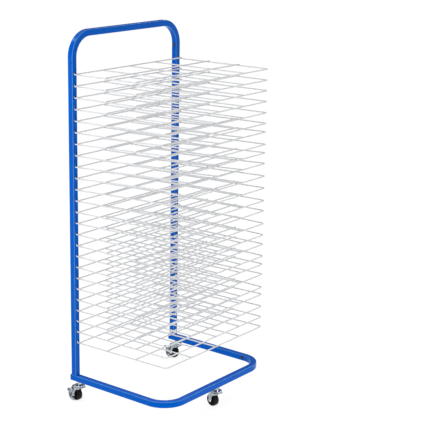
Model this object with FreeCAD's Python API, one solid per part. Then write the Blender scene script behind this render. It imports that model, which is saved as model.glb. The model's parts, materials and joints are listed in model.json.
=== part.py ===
"""Mobile art drying rack: a knock-down square-tube frame on three swivel casters,
with wire shelves that hook into holes in the two posts.

Millimetres. X runs across the rack, Y from the shelves' free ends back to the
posts, Z up from the floor. The origin is the middle of the floor area covered.
"""

import FreeCAD
import Part

import math
import os

from FreeCAD import Vector

# ---- Driving dimensions -------------------------------------------------

TUBE = 18.0                     # outside of the square frame tube
TUBE_WALL = 1.2
TUBE_CORNER = 2.5               # outside corner radius of the tube
POST_SPACING = 440.0            # between the centre lines of the two posts
BASE_REACH = 342.0              # from the posts' front faces to the base's front face
ARM_TAIL = 2.5                  # base arm behind the post's rear face
BEND_RADIUS = 72.0              # outside radius of every frame bend
BEND_LEG = 13.0                 # straight end of a bent tube, past its bend

SHELVES_PER_SECTION = (7, 10, 8)        # lower, middle and upper post section
SHELF_PITCH = 32.0
FIRST_SHELF_RISE = 101.0        # from the top of the base arm to the lowest shelf hole
HANDLE_RISE = 115.0             # from the highest shelf hole to the top of the handle
SHELF_HOLE = 8.0

WIRE = 3.2                      # shelf wire diameter
SHELF_REACH = 328.0             # from the posts' front faces to the front wire's centre
SHELF_CORNER = 10.0             # centre-line radius of the shelf's front corners
REAR_CROSS_WIRE = 10.0          # from the posts' front faces to the rear cross wire
INNER_DEPTH_WIRES = 3
CROSS_WIRES = 3                 # behind the front wire
CROSS_OVERHANG = 3.0            # cross wire past the side wire
DEPTH_OVERHANG = 4.0            # inner depth wire behind the rear cross wire
WELD_SINK = 0.8                 # how far crossing wires are pressed into each other
HOOK_BEND = 5.0                 # centre-line radius of the hook's bend
HOOK_RISE = 12.0                # from the shelf's plane to the hook's end
HOOK_PLAY = 0.3                 # hook to the post's wall, and to the hole's lower edge

SPIGOT_PLAY = 0.15              # spigot to the inside of the tube, each side
SPIGOT_WALL = 1.5
SPIGOT_DEPTH = 25.0             # of a spigot in the tube that it is welded into
POST_SPIGOT_STAND = 27.0        # of a spigot above a post seam
BENT_SPIGOT_STAND = 14.0        # of a spigot in a bent tube's straight end
FOOT_SPIGOT_STAND = 32.0        # of a foot spigot above the base arm

SCREW_THREAD = 5.0
SCREW_CLEARANCE_HOLE = 5.5
SCREW_LENGTH = 8.0
SCREW_HEAD = 9.5
SCREW_HEAD_HEIGHT = 2.6
SCREW_SOCKET = 3.0              # across the flats of the hexagon socket
POST_SCREW_RISE = 18.0          # rear screw above a post seam
FOOT_SCREW_RISES = (19.0, 10.0)         # rear screw and inner screw above the base arm
BENT_SCREW_OFFSET = 8.2         # inner screw past the seam of a bent tube

CAP_FLANGE = 1.2
CAP_PLUG = 12.0

CASTER_HEIGHT = 61.0            # floor to the underside of the base
REAR_STEM_FORWARD = 6.0         # rear caster stems in front of the posts' front faces
CASTER_TURN = 10.0              # how far the casters stand turned about their stems, degrees
CASTER_TRAIL = 15.0             # wheel axle behind the stem
WHEEL_DIAMETER = 38.0
WHEEL_WIDTH = 16.0
AXLE = 6.0
AXLE_PLAY = 0.05
STEM_THREAD = 8.0
STEM_ENGAGED = 11.0             # threaded stem inside the base tube
INSERT_BODY = 11.0
INSERT_FLANGE = 14.0
INSERT_FLANGE_HEIGHT = 0.8
STEM_HEX = 13.0
STEM_HEX_HEIGHT = 5.5
STEM_COLLAR = 14.0              # round collar under the hexagon
STEM_COLLAR_HEIGHT = 3.0
CUP_RADIUS = 15.0
CUP_PLATE = 1.8
CUP_RIM = 1.4
CUP_RIM_DROP = 2.5
KINGPIN = 7.0
KINGPIN_HEAD = 12.0
KINGPIN_HEAD_HEIGHT = 1.5
KINGPIN_PLAY = 0.05
BALL = 3.0
BALL_RING_RADIUS = 10.5
BALL_COUNT = 16
BALL_PLAY = 0.05
FORK_SHEET = 2.0
FORK_GAP = 20.0                 # between the fork's legs
FORK_DISC_RADIUS = 16.0
FORK_TAIL = 21.0                # fork top plate behind the stem
FORK_NOSE = 12.0                # fork top plate in front of the stem
FORK_FOOT_RADIUS = 5.5          # rounded end of a fork leg, round the axle
WHEEL_SIDE_PLAY = 0.3           # hub to fork leg
BRAKE_SHEET = 1.5
BRAKE_PIVOT_BACK = 20.0         # brake pivot behind the stem
BRAKE_PIVOT_DROP = 24.5         # brake pivot below the base tube
BRAKE_PIN = 4.0
BRAKE_PLAY = 0.3                # brake cheek to fork leg
BRAKE_STRAP_GAP = 2.5           # brake strap to the wheel's tread
BRAKE_STRAP_HIGH = 18.0         # upper and lower edge of the strap, degrees about the axle
BRAKE_STRAP_LOW = -31.0
BRAKE_INNER_RADIUS = 9.6        # inner edge of the brake cheeks, round the axle's head
BRAKE_PRESSED = 6.5             # turn of the brake from free to pressed, degrees
PEDAL_RADIUS = 5.5
PEDAL_TILT = 45.0               # rear edge up, degrees
PEDAL_NECK = 5.0                # width of the neck between strap and pedal
PEDAL_BACK = 54.5               # centre of the pedal behind the stem
PEDAL_DROP = 37.6               # centre of the pedal below the base tube

# Angle at which each shelf hangs, degrees upward to its free end, lowest shelf first.
SHELF_ANGLES = (0.8, 0.5, 0.6, 1.6, -0.2, 1.2, 1.0, -0.3, 0.4, -0.3, 0.1, 1.2, 0.9,
                1.8, 2.4, 3.3, 3.1, 1.8, 2.6, 1.3, 1.0, 1.1, 0.9, 0.5, 0.4)

# ---- Places worked out from them ---------------------------------------

SHELF_COUNT = sum(SHELVES_PER_SECTION)
BORE = TUBE - 2 * TUBE_WALL                     # inside of the tube
SPIGOT = BORE - 2 * SPIGOT_PLAY
BEND_CENTRE = BEND_RADIUS - TUBE / 2            # centre-line bend radius

TURN_COS = math.cos(math.radians(CASTER_TURN))
PEDAL_END = PEDAL_BACK * TURN_COS + PEDAL_RADIUS * 0.8 - REAR_STEM_FORWARD  # behind the posts' front faces
FRONT_STEM_REACH = BASE_REACH - TUBE / 2
FRONT_EDGE = FRONT_STEM_REACH + FORK_DISC_RADIUS
POST_FRONT = (FRONT_EDGE - PEDAL_END) / 2       # Y of the posts' front faces
POST_Y = POST_FRONT + TUBE / 2
POST_X = POST_SPACING / 2
BASE_FRONT = POST_FRONT - BASE_REACH

BASE_BOTTOM = CASTER_HEIGHT
BASE_Z = BASE_BOTTOM + TUBE / 2
BASE_TOP = BASE_BOTTOM + TUBE
FIRST_SHELF_Z = BASE_TOP + FIRST_SHELF_RISE
SHELF_HOLES = [FIRST_SHELF_Z + SHELF_PITCH * i for i in range(SHELF_COUNT)]
LAST_OF_LOWER = SHELVES_PER_SECTION[0] - 1
LAST_OF_MIDDLE = LAST_OF_LOWER + SHELVES_PER_SECTION[1]
LOWER_SEAM = SHELF_HOLES[LAST_OF_LOWER] + SHELF_PITCH / 2
UPPER_SEAM = SHELF_HOLES[LAST_OF_MIDDLE] + SHELF_PITCH / 2
HANDLE_TOP = SHELF_HOLES[-1] + HANDLE_RISE
HANDLE_SEAM = HANDLE_TOP - BEND_RADIUS - BEND_LEG
BASE_SEAM = BASE_FRONT + BEND_RADIUS + BEND_LEG

SIDES = (("left", -1), ("right", 1))
REAR_STEM_Y = POST_FRONT - REAR_STEM_FORWARD
# Name, place and how far the brake stands pressed; the front caster has none.
CASTERS = (
    ("left", -POST_X, REAR_STEM_Y, BRAKE_PRESSED),
    ("right", POST_X, REAR_STEM_Y, 0.0),
    ("front", 0.0, POST_FRONT - FRONT_STEM_REACH, None),
)

HOOK_LEG_BACK = TUBE_WALL + HOOK_PLAY + WIRE / 2        # behind the post's front face
SHELF_DROP = SHELF_HOLE / 2 - HOOK_PLAY - WIRE / 2      # shelf plane below the hole


# ---- Small shapes -------------------------------------------------------

def square_wire(side, corner):
    """Closed outline of a square with round corners, in the XY plane."""
    half = side / 2
    flat = half - corner
    cut = corner * (1 - math.sqrt(0.5))
    edges = []
    for turn in range(4):
        quarter = FreeCAD.Rotation(Vector(0, 0, 1), 90 * turn)
        start = quarter.multVec(Vector(half, -flat, 0))
        end = quarter.multVec(Vector(half, flat, 0))
        middle = quarter.multVec(Vector(half - cut, half - cut, 0))
        after = quarter.multVec(Vector(flat, half, 0))
        edges.append(Part.LineSegment(start, end).toShape())
        edges.append(Part.Arc(end, middle, after).toShape())
    return Part.Wire(edges)


def tube_face(side, wall, corner):
    """Section of a square tube in the XY plane, centred on the origin."""
    outer = Part.Face(square_wire(side, corner))
    inner = Part.Face(square_wire(side - 2 * wall, max(corner - wall, 0.3)))
    return outer.cut(inner).Faces[0]


def cylinder(radius, start, end):
    """Cylinder between two points."""
    run = end - start
    return Part.makeCylinder(radius, run.Length, start, run)


def hexagon(across_flats, height, base):
    """Hexagonal prism rising from base along Z."""
    corner = across_flats / math.sqrt(3)
    points = [base + Vector(corner * math.cos(math.radians(60 * i)),
                            corner * math.sin(math.radians(60 * i)), 0) for i in range(7)]
    return Part.Face(Part.makePolygon(points)).extrude(Vector(0, 0, height))


def fused(shapes):
    """One solid made of several that touch or overlap."""
    return shapes[0].multiFuse(shapes[1:]).removeSplitter()


def mirrored_x(shape):
    return shape.mirror(Vector(0, 0, 0), Vector(1, 0, 0))


def save(name, shapes):
    """Writes one node; a group of like pieces is a compound of separate solids."""
    shape = shapes[0] if len(shapes) == 1 else Part.makeCompound(shapes)
    shape.exportStep(os.path.join("parts", name + ".step"))


# ---- Frame tubes --------------------------------------------------------

def straight_tube(start, end):
    """Square tube between two points, along Y or Z."""
    run = end - start
    face = tube_face(TUBE, TUBE_WALL, TUBE_CORNER)
    if abs(run.y) > 0:
        face.rotate(Vector(0, 0, 0), Vector(1, 0, 0), -90)
    face.translate(start)
    return face.extrude(run)


def bent_tube():
    """U-shaped tube in the XY plane: ends at y = 0, bends and cross run towards -Y."""
    face = tube_face(TUBE, TUBE_WALL, TUBE_CORNER)
    face.rotate(Vector(0, 0, 0), Vector(1, 0, 0), -90)
    face.translate(Vector(-POST_X, 0, 0))
    leg = face.extrude(Vector(0, -BEND_LEG, 0))
    face.translate(Vector(0, -BEND_LEG, 0))
    centre = Vector(-POST_X + BEND_CENTRE, -BEND_LEG, 0)
    bend = face.revolve(centre, Vector(0, 0, 1), 90)
    face.rotate(centre, Vector(0, 0, 1), 90)
    half_run = face.extrude(Vector(POST_X - BEND_CENTRE, 0, 0))
    half = [leg, bend, half_run]
    return fused(half + [mirrored_x(piece) for piece in half])


def screw_hole(place, direction):
    """Clearance hole for a frame screw, cut from outside through one wall."""
    return cylinder(SCREW_CLEARANCE_HOLE / 2, place + direction, place - direction * (TUBE_WALL + 1))


def post_section(x, bottom, top, holes):
    """One length of post with its shelf holes and its screw hole, low in the rear face."""
    post = straight_tube(Vector(x, POST_Y, bottom), Vector(x, POST_Y, top))
    cuts = [cylinder(SHELF_HOLE / 2, Vector(x, POST_FRONT - 1, z),
                     Vector(x, POST_FRONT + TUBE_WALL + 1, z)) for z in holes]
    rise = FOOT_SCREW_RISES[0] if bottom == BASE_TOP else POST_SCREW_RISE
    cuts.append(screw_hole(Vector(x, POST_FRONT + TUBE, bottom + rise), Vector(0, 1, 0)))
    if bottom == BASE_TOP:
        inner_face = Vector(x - math.copysign(TUBE / 2, x), POST_Y, bottom + FOOT_SCREW_RISES[1])
        cuts.append(screw_hole(inner_face, Vector(-math.copysign(1, x), 0, 0)))
    return post.cut(cuts)


def post_sections():
    """The three lengths of each post."""
    middle_start = SHELVES_PER_SECTION[0]
    upper_start = middle_start + SHELVES_PER_SECTION[1]
    spans = (
        ("lower", BASE_TOP, LOWER_SEAM, SHELF_HOLES[:middle_start]),
        ("middle", LOWER_SEAM, UPPER_SEAM, SHELF_HOLES[middle_start:upper_start]),
        ("upper", UPPER_SEAM, HANDLE_SEAM, SHELF_HOLES[upper_start:]),
    )
    for side, sign in SIDES:
        for level, bottom, top, holes in spans:
            save(f"post_{side}_{level}", [post_section(sign * POST_X, bottom, top, holes)])


def top_handle():
    """Push handle: bent tube over the two posts."""
    handle = bent_tube()
    handle.rotate(Vector(0, 0, 0), Vector(1, 0, 0), -90)
    handle.translate(Vector(0, POST_Y, HANDLE_SEAM))
    cuts = []
    for _, sign in SIDES:
        face = Vector(sign * (POST_X - TUBE / 2), POST_Y, HANDLE_SEAM + BENT_SCREW_OFFSET)
        cuts.append(screw_hole(face, Vector(-sign, 0, 0)))
    save("top_handle", [handle.cut(cuts)])


def base_front():
    """Front of the base: bent tube with the hole for the front caster."""
    front = bent_tube()
    front.translate(Vector(0, BASE_SEAM, BASE_Z))
    cuts = [caster_hole(0.0, POST_FRONT - FRONT_STEM_REACH)]
    for _, sign in SIDES:
        face = Vector(sign * (POST_X - TUBE / 2), BASE_SEAM - BENT_SCREW_OFFSET, BASE_Z)
        cuts.append(screw_hole(face, Vector(-sign, 0, 0)))
    save("base_front", [front.cut(cuts)])


def caster_hole(x, y):
    """Hole for a caster's threaded insert, through the lower wall of a base tube."""
    return cylinder(INSERT_BODY / 2, Vector(x, y, BASE_BOTTOM - 1),
                    Vector(x, y, BASE_BOTTOM + TUBE_WALL + 1))


def base_arms():
    """Two side tubes of the base, under the posts."""
    for side, sign in SIDES:
        x = sign * POST_X
        arm = straight_tube(Vector(x, POST_FRONT + TUBE + ARM_TAIL, BASE_Z), Vector(x, BASE_SEAM, BASE_Z))
        save(f"base_arm_{side}", [arm.cut(caster_hole(x, REAR_STEM_Y))])


def arm_end_caps():
    """Push-in plugs with a thin flange for the open rear ends of the base arms."""
    plug_wall = 1.6
    caps = []
    for _, sign in SIDES:
        flange = Part.Face(square_wire(TUBE, TUBE_CORNER)).extrude(Vector(0, 0, CAP_FLANGE))
        plug = tube_face(BORE, plug_wall, TUBE_CORNER - TUBE_WALL).extrude(Vector(0, 0, -CAP_PLUG))
        cap = fused([flange, plug])
        cap.rotate(Vector(0, 0, 0), Vector(1, 0, 0), -90)
        cap.translate(Vector(sign * POST_X, POST_FRONT + TUBE + ARM_TAIL, BASE_Z))
        caps.append(cap)
    save("arm_end_caps", caps)


# ---- Spigots and screws -------------------------------------------------

def channel_spigot(bottom, height):
    """Upright spigot open to the front, so that shelf hooks pass inside it."""
    block = Part.Face(square_wire(SPIGOT, TUBE_CORNER - TUBE_WALL)).extrude(Vector(0, 0, height))
    hollow = SPIGOT - 2 * SPIGOT_WALL
    mouth = Part.makeBox(hollow, SPIGOT, height, Vector(-hollow / 2, -SPIGOT / 2 - SPIGOT_WALL, 0))
    spigot = block.cut(mouth)
    spigot.translate(Vector(0, POST_Y, bottom))
    return spigot


def box_spigot(length):
    """Closed square spigot rising along Z from the origin."""
    return tube_face(SPIGOT, SPIGOT_WALL, TUBE_CORNER - TUBE_WALL).extrude(Vector(0, 0, length))


def tapped_hole(place, direction):
    """Thread core for a frame screw, cut inward from a tube face."""
    return cylinder(SCREW_THREAD / 2, place + direction, place - direction * (TUBE / 2 - 1))


def spigots():
    """Pieces inside the tubes that carry each joint of the frame."""
    rear = Vector(0, 1, 0)
    post_joints = []
    handle_joints = []
    base_joints = []
    for _, sign in SIDES:
        x = sign * POST_X
        inner = Vector(-sign, 0, 0)
        inner_x = x - sign * TUBE / 2
        for seam in (LOWER_SEAM, UPPER_SEAM):
            spigot = channel_spigot(seam - SPIGOT_DEPTH, SPIGOT_DEPTH + POST_SPIGOT_STAND)
            spigot.translate(Vector(x, 0, 0))
            hole = tapped_hole(Vector(x, POST_FRONT + TUBE, seam + POST_SCREW_RISE), rear)
            post_joints.append(spigot.cut(hole))

        spigot = channel_spigot(HANDLE_SEAM - SPIGOT_DEPTH, SPIGOT_DEPTH + BENT_SPIGOT_STAND)
        spigot.translate(Vector(x, 0, 0))
        hole = tapped_hole(Vector(inner_x, POST_Y, HANDLE_SEAM + BENT_SCREW_OFFSET), inner)
        handle_joints.append(spigot.cut(hole))

        foot = box_spigot(FOOT_SPIGOT_STAND)
        foot.translate(Vector(x, POST_Y, BASE_TOP))
        rear_hole = tapped_hole(Vector(x, POST_FRONT + TUBE, BASE_TOP + FOOT_SCREW_RISES[0]), rear)
        side_hole = tapped_hole(Vector(inner_x, POST_Y, BASE_TOP + FOOT_SCREW_RISES[1]), inner)
        base_joints.append(foot.cut([rear_hole, side_hole]))

        front = box_spigot(SPIGOT_DEPTH + BENT_SPIGOT_STAND)
        front.rotate(Vector(0, 0, 0), Vector(1, 0, 0), 90)
        front.translate(Vector(x, BASE_SEAM + SPIGOT_DEPTH, BASE_Z))
        hole = tapped_hole(Vector(inner_x, BASE_SEAM - BENT_SCREW_OFFSET, BASE_Z), inner)
        base_joints.append(front.cut(hole))
    save("post_spigots", post_joints)
    save("handle_spigots", handle_joints)
    save("base_spigots", base_joints)


def frame_screw(place, direction):
    """Button-head screw with a hexagon socket; place is under its head, on the tube."""
    radius = SCREW_HEAD / 2
    rim = 0.7
    crown = 2.2
    profile = Part.Wire([
        Part.LineSegment(Vector(0, 0, 0), Vector(radius, 0, 0)).toShape(),
        Part.LineSegment(Vector(radius, 0, 0), Vector(radius, 0, rim)).toShape(),
        Part.Arc(Vector(radius, 0, rim), Vector(radius * 0.8, 0, SCREW_HEAD_HEIGHT * 0.75),
                 Vector(crown, 0, SCREW_HEAD_HEIGHT)).toShape(),
        Part.LineSegment(Vector(crown, 0, SCREW_HEAD_HEIGHT), Vector(0, 0, SCREW_HEAD_HEIGHT)).toShape(),
        Part.LineSegment(Vector(0, 0, SCREW_HEAD_HEIGHT), Vector(0, 0, 0)).toShape(),
    ])
    head = Part.Face(profile).revolve(Vector(0, 0, 0), Vector(0, 0, 1), 360)
    socket_depth = SCREW_HEAD_HEIGHT * 0.6
    socket = hexagon(SCREW_SOCKET, socket_depth + 1, Vector(0, 0, SCREW_HEAD_HEIGHT - socket_depth))
    shank = cylinder(SCREW_THREAD / 2, Vector(0, 0, 0), Vector(0, 0, -SCREW_LENGTH))
    screw = fused([head.cut(socket), shank])
    turn = FreeCAD.Rotation(Vector(0, 0, 1), direction)
    screw.Placement = FreeCAD.Placement(place, turn)
    return screw


def frame_screws():
    """Every screw of the frame: two in each foot, one in each other joint."""
    rear = Vector(0, 1, 0)
    screws = []
    for _, sign in SIDES:
        x = sign * POST_X
        inner = Vector(-sign, 0, 0)
        inner_x = x - sign * TUBE / 2
        for z in (BASE_TOP + FOOT_SCREW_RISES[0], LOWER_SEAM + POST_SCREW_RISE, UPPER_SEAM + POST_SCREW_RISE):
            screws.append(frame_screw(Vector(x, POST_FRONT + TUBE, z), rear))
        screws.append(frame_screw(Vector(inner_x, POST_Y, BASE_TOP + FOOT_SCREW_RISES[1]), inner))
        screws.append(frame_screw(Vector(inner_x, POST_Y, HANDLE_SEAM + BENT_SCREW_OFFSET), inner))
        screws.append(frame_screw(Vector(inner_x, BASE_SEAM - BENT_SCREW_OFFSET, BASE_Z), inner))
    save("frame_screws", screws)


# ---- Casters ------------------------------------------------------------
# Each is built with its stem on the Z axis and the base tube's underside at z = 0,
# wheel trailing towards +Y. Then all that swivels is turned about the stem, and the
# caster is moved under its place on the base.

HEX_BOTTOM = -INSERT_FLANGE_HEIGHT - STEM_HEX_HEIGHT
CUP_TOP = HEX_BOTTOM - STEM_COLLAR_HEIGHT
CUP_UNDERSIDE = CUP_TOP - CUP_PLATE
BALL_CENTRE = CUP_UNDERSIDE - BALL_PLAY - BALL / 2
FORK_TOP = BALL_CENTRE - BALL / 2 - BALL_PLAY
FORK_UNDERSIDE = FORK_TOP - FORK_SHEET
AXLE_PLACE = Vector(0, CASTER_TRAIL, WHEEL_DIAMETER / 2 - CASTER_HEIGHT)
LEG_INSIDE = FORK_GAP / 2
LEG_OUTSIDE = LEG_INSIDE + FORK_SHEET
BRAKE_PIVOT = Vector(0, BRAKE_PIVOT_BACK, -BRAKE_PIVOT_DROP)
CHEEK_INSIDE = LEG_OUTSIDE + BRAKE_PLAY
CHEEK_OUTSIDE = CHEEK_INSIDE + BRAKE_SHEET


def across(radius, centre, half_width):
    """Round bar along X through a centre."""
    return cylinder(radius, centre - Vector(half_width, 0, 0), centre + Vector(half_width, 0, 0))


def caster_insert():
    """Threaded insert set in the base tube's lower wall."""
    grip_start = TUBE_WALL + 0.5
    grip_end = TUBE_WALL + 2.5
    body = cylinder(INSERT_BODY / 2, Vector(0, 0, 0), Vector(0, 0, STEM_ENGAGED - 1))
    bulge = cylinder(INSERT_BODY / 2 + 0.45, Vector(0, 0, grip_start), Vector(0, 0, grip_end))
    flange = cylinder(INSERT_FLANGE / 2, Vector(0, 0, -INSERT_FLANGE_HEIGHT), Vector(0, 0, 0))
    bore = cylinder(STEM_THREAD / 2, Vector(0, 0, -5), Vector(0, 0, STEM_ENGAGED + 5))
    return fused([body, bulge, flange]).cut(bore)


def caster_stem():
    """Threaded stem, hexagon, collar, upper bearing cup and kingpin, riveted into one piece."""
    thread = cylinder(STEM_THREAD / 2, Vector(0, 0, CUP_TOP), Vector(0, 0, STEM_ENGAGED))
    nut = hexagon(STEM_HEX, STEM_HEX_HEIGHT, Vector(0, 0, HEX_BOTTOM))
    collar = cylinder(STEM_COLLAR / 2, Vector(0, 0, CUP_TOP), Vector(0, 0, HEX_BOTTOM))
    cup = cylinder(CUP_RADIUS, Vector(0, 0, CUP_UNDERSIDE - CUP_RIM_DROP), Vector(0, 0, CUP_TOP))
    shoulder = [edge for edge in cup.Edges if edge.BoundBox.ZMin > CUP_TOP - 0.01]
    cup = cup.makeFillet(1.2, shoulder)
    cup = cup.cut(cylinder(CUP_RADIUS - CUP_RIM, Vector(0, 0, CUP_UNDERSIDE - CUP_RIM_DROP - 1),
                           Vector(0, 0, CUP_UNDERSIDE)))
    head_top = FORK_UNDERSIDE - 2 * KINGPIN_PLAY
    kingpin = cylinder(KINGPIN / 2, Vector(0, 0, head_top), Vector(0, 0, CUP_UNDERSIDE))
    head = cylinder(KINGPIN_HEAD / 2, Vector(0, 0, head_top - KINGPIN_HEAD_HEIGHT), Vector(0, 0, head_top))
    return fused([thread, nut, collar, cup, kingpin, head])


def bearing_balls():
    """Ring of balls between the cup and the fork."""
    step = 360.0 / BALL_COUNT
    return [Part.makeSphere(BALL / 2, Vector(BALL_RING_RADIUS * math.cos(math.radians(step * i)),
                                             BALL_RING_RADIUS * math.sin(math.radians(step * i)),
                                             BALL_CENTRE)) for i in range(BALL_COUNT)]


def fork_section():
    """Section of the folded fork in the XZ plane: flat top, round folds, two legs."""
    fold = FORK_SHEET + 0.6
    low = AXLE_PLACE.z - 2 * FORK_FOOT_RADIUS
    outer = Part.makeBox(2 * LEG_OUTSIDE, 1, FORK_TOP - low, Vector(-LEG_OUTSIDE, 0, low))
    inner = Part.makeBox(2 * LEG_INSIDE, 1, FORK_UNDERSIDE - low + 1, Vector(-LEG_INSIDE, 0, low - 1))
    outer = outer.makeFillet(fold, long_edges_at(outer, FORK_TOP))
    inner = inner.makeFillet(fold - FORK_SHEET, long_edges_at(inner, FORK_UNDERSIDE))
    faces = [face for face in outer.cut(inner).Faces if face.BoundBox.YMax < 0.001]
    return faces[0]


def long_edges_at(box, z):
    """The two edges of a box along Y at height z."""
    return [edge for edge in box.Edges
            if abs(edge.BoundBox.ZMin - z) < 0.001 and abs(edge.BoundBox.ZMax - z) < 0.001
            and edge.BoundBox.YLength > 0.5]


def fork_side():
    """Side view of a fork leg and the top plate, as a solid across the whole fork."""
    foot_y = AXLE_PLACE.y
    foot_z = AXLE_PLACE.z
    x = -LEG_OUTSIDE - 1

    def at(y, z):
        return Vector(x, y, z)

    nose_low = at(-FORK_NOSE + 4, FORK_UNDERSIDE - 4.3)
    foot_front = at(foot_y - FORK_FOOT_RADIUS, foot_z)
    foot_rear = at(foot_y + FORK_FOOT_RADIUS, foot_z)
    tail_low = at(FORK_TAIL, FORK_UNDERSIDE - 13)
    straight = [
        foot_rear, tail_low, at(FORK_TAIL, FORK_TOP), at(-FORK_NOSE, FORK_TOP),
        at(-FORK_NOSE, FORK_UNDERSIDE - 2), nose_low,
    ]
    edges = [Part.LineSegment(start, end).toShape() for start, end in zip(straight, straight[1:])]
    edges.append(Part.Arc(nose_low, at(6.0, AXLE_PLACE.z + 14), foot_front).toShape())
    edges.append(Part.Arc(foot_front, at(foot_y, foot_z - FORK_FOOT_RADIUS), foot_rear).toShape())
    return Part.Face(Part.Wire(edges)).extrude(Vector(2 * LEG_OUTSIDE + 2, 0, 0))


def fork(has_brake):
    """Pressed fork: raceway disc, folded top and two legs that sweep down to the axle."""
    folded = fork_section()
    folded.translate(Vector(0, -FORK_NOSE, 0))
    folded = folded.extrude(Vector(0, FORK_NOSE + FORK_TAIL, 0))
    legs = folded.common(fork_side())
    disc = cylinder(FORK_DISC_RADIUS, Vector(0, 0, FORK_UNDERSIDE), Vector(0, 0, FORK_TOP))
    disc = disc.makeFillet(0.9, [edge for edge in disc.Edges if edge.BoundBox.ZMin > FORK_TOP - 0.01])
    body = fused([legs, disc])
    kingpin_hole = cylinder(KINGPIN / 2 + KINGPIN_PLAY, Vector(0, 0, FORK_UNDERSIDE - 1), Vector(0, 0, 0))
    holes = [kingpin_hole, across(AXLE / 2, AXLE_PLACE, LEG_OUTSIDE + 1)]
    if has_brake:
        holes.append(across(BRAKE_PIN / 2, BRAKE_PIVOT, LEG_OUTSIDE + 1))
    return body.cut(holes)


def axle():
    """Axle rivet: shank through both legs, a domed head and a peened end."""
    head_radius = 5.0
    peen_radius = 4.3
    head_height = 2.0
    shank = across(AXLE / 2, AXLE_PLACE, LEG_OUTSIDE + head_height / 2)
    left = AXLE_PLACE - Vector(LEG_OUTSIDE, 0, 0)
    right = AXLE_PLACE + Vector(LEG_OUTSIDE, 0, 0)
    head = cylinder(head_radius, left - Vector(head_height, 0, 0), left)
    head = head.makeFillet(1.6, [edge for edge in head.Edges if edge.BoundBox.XMax < left.x - 1])
    peen = cylinder(peen_radius, right, right + Vector(head_height, 0, 0))
    peen = peen.makeFillet(1.2, [edge for edge in peen.Edges if edge.BoundBox.XMin > right.x + 1])
    return fused([shank, head, peen])


def wheel():
    """One-piece moulded wheel: rounded tread, recessed sides, hub that nearly fills the fork."""
    radius = WHEEL_DIAMETER / 2
    half = WHEEL_WIDTH / 2
    hub_half = LEG_INSIDE - WHEEL_SIDE_PLAY
    hub_radius = 6.5
    recess = 2.0
    rim_inside = radius - 4.0
    body = across(radius, AXLE_PLACE, half)
    tread_edges = [edge for edge in body.Edges if edge.BoundBox.XLength < 0.01]
    body = body.makeFillet(2.6, tread_edges)
    cuts = []
    for sign in (-1, 1):
        outer = AXLE_PLACE + Vector(sign * (half + 1), 0, 0)
        inner = AXLE_PLACE + Vector(sign * (half - recess), 0, 0)
        cuts.append(cylinder(rim_inside, inner, outer))
    hub = across(hub_radius, AXLE_PLACE, hub_half)
    bore = across(AXLE / 2 + AXLE_PLAY, AXLE_PLACE, hub_half + 1)
    return fused([body.cut(cuts), hub]).cut(bore)


def brake_pins():
    """Two stub rivets through the fork's legs, on which the brake turns."""
    pins = []
    for sign in (-1, 1):
        root = BRAKE_PIVOT + Vector(sign * LEG_INSIDE, 0, 0)
        neck = BRAKE_PIVOT + Vector(sign * (CHEEK_OUTSIDE + BRAKE_PLAY / 3), 0, 0)
        tip = neck + Vector(sign * 1.2, 0, 0)
        pins.append(fused([cylinder(BRAKE_PIN / 2, root, neck), cylinder(BRAKE_PIN / 2 + 1.5, neck, tip)]))
    return pins


def on_wheel(radius, angle):
    """Point in the middle plane at a radius from the axle, degrees above the rear horizontal."""
    return AXLE_PLACE + Vector(0, radius * math.cos(math.radians(angle)),
                               radius * math.sin(math.radians(angle)))


def brake_cheek():
    """Side shield of the brake: from its pivot ear down over the rear half of the wheel."""
    tread = WHEEL_DIAMETER / 2
    strap = tread + BRAKE_STRAP_GAP + BRAKE_SHEET
    inner = BRAKE_INNER_RADIUS
    ear_front = BRAKE_PIVOT + Vector(0, -3.5, 3.0)
    ear_rear = BRAKE_PIVOT + Vector(0, 3.0, 3.7)
    shoulder = on_wheel(tread - 0.6, 47)
    strap_top = on_wheel(strap, BRAKE_STRAP_HIGH)
    strap_end = on_wheel(strap, BRAKE_STRAP_LOW)
    bottom = on_wheel(tread - 2.2, -90)
    toe = on_wheel(tread - 5.8, -110)
    inner_low = on_wheel(inner, -110)
    inner_high = on_wheel(inner, 57)
    edges = [
        Part.LineSegment(ear_front, ear_rear), Part.LineSegment(ear_rear, shoulder),
        Part.Arc(shoulder, on_wheel(tread, 30), strap_top),
        Part.Arc(strap_top, on_wheel(strap, (BRAKE_STRAP_HIGH + BRAKE_STRAP_LOW) / 2), strap_end),
        Part.Arc(strap_end, on_wheel(tread + 0.75, -56), bottom),
        Part.Arc(bottom, on_wheel(tread - 3.0, -103), toe), Part.LineSegment(toe, inner_low),
        Part.Arc(inner_low, on_wheel(inner, -20), inner_high),
        Part.LineSegment(inner_high, BRAKE_PIVOT + Vector(0, -4.7, -3.0)),
        Part.LineSegment(BRAKE_PIVOT + Vector(0, -4.7, -3.0), ear_front),
    ]
    plate = Part.Face(Part.Wire([edge.toShape() for edge in edges])).extrude(Vector(BRAKE_SHEET, 0, 0))
    ear = cylinder(BRAKE_PIN / 2 + 3.0, BRAKE_PIVOT, BRAKE_PIVOT + Vector(BRAKE_SHEET, 0, 0))
    slot = []
    for place in (on_wheel(tread - 3.2, 2), on_wheel(tread - 3.5, -38)):
        slot.append(cylinder(2.0, place - Vector(1, 0, 0), place + Vector(BRAKE_SHEET + 1, 0, 0)))
    return fused([plate, ear]).cut(slot + [slot_bar(tread)])


def slot_bar(tread):
    """What joins the two round ends of the slot in a brake cheek."""
    high = on_wheel(tread - 3.2, 2)
    low = on_wheel(tread - 3.5, -38)
    side = Vector(1, 0, 0).cross(high - low).normalize() * 2.0
    start = Vector(-1, 0, 0)
    corners = [high + side + start, low + side + start, low - side + start, high - side + start]
    return Part.Face(Part.makePolygon(corners + corners[:1])).extrude(Vector(BRAKE_SHEET + 2, 0, 0))


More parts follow.
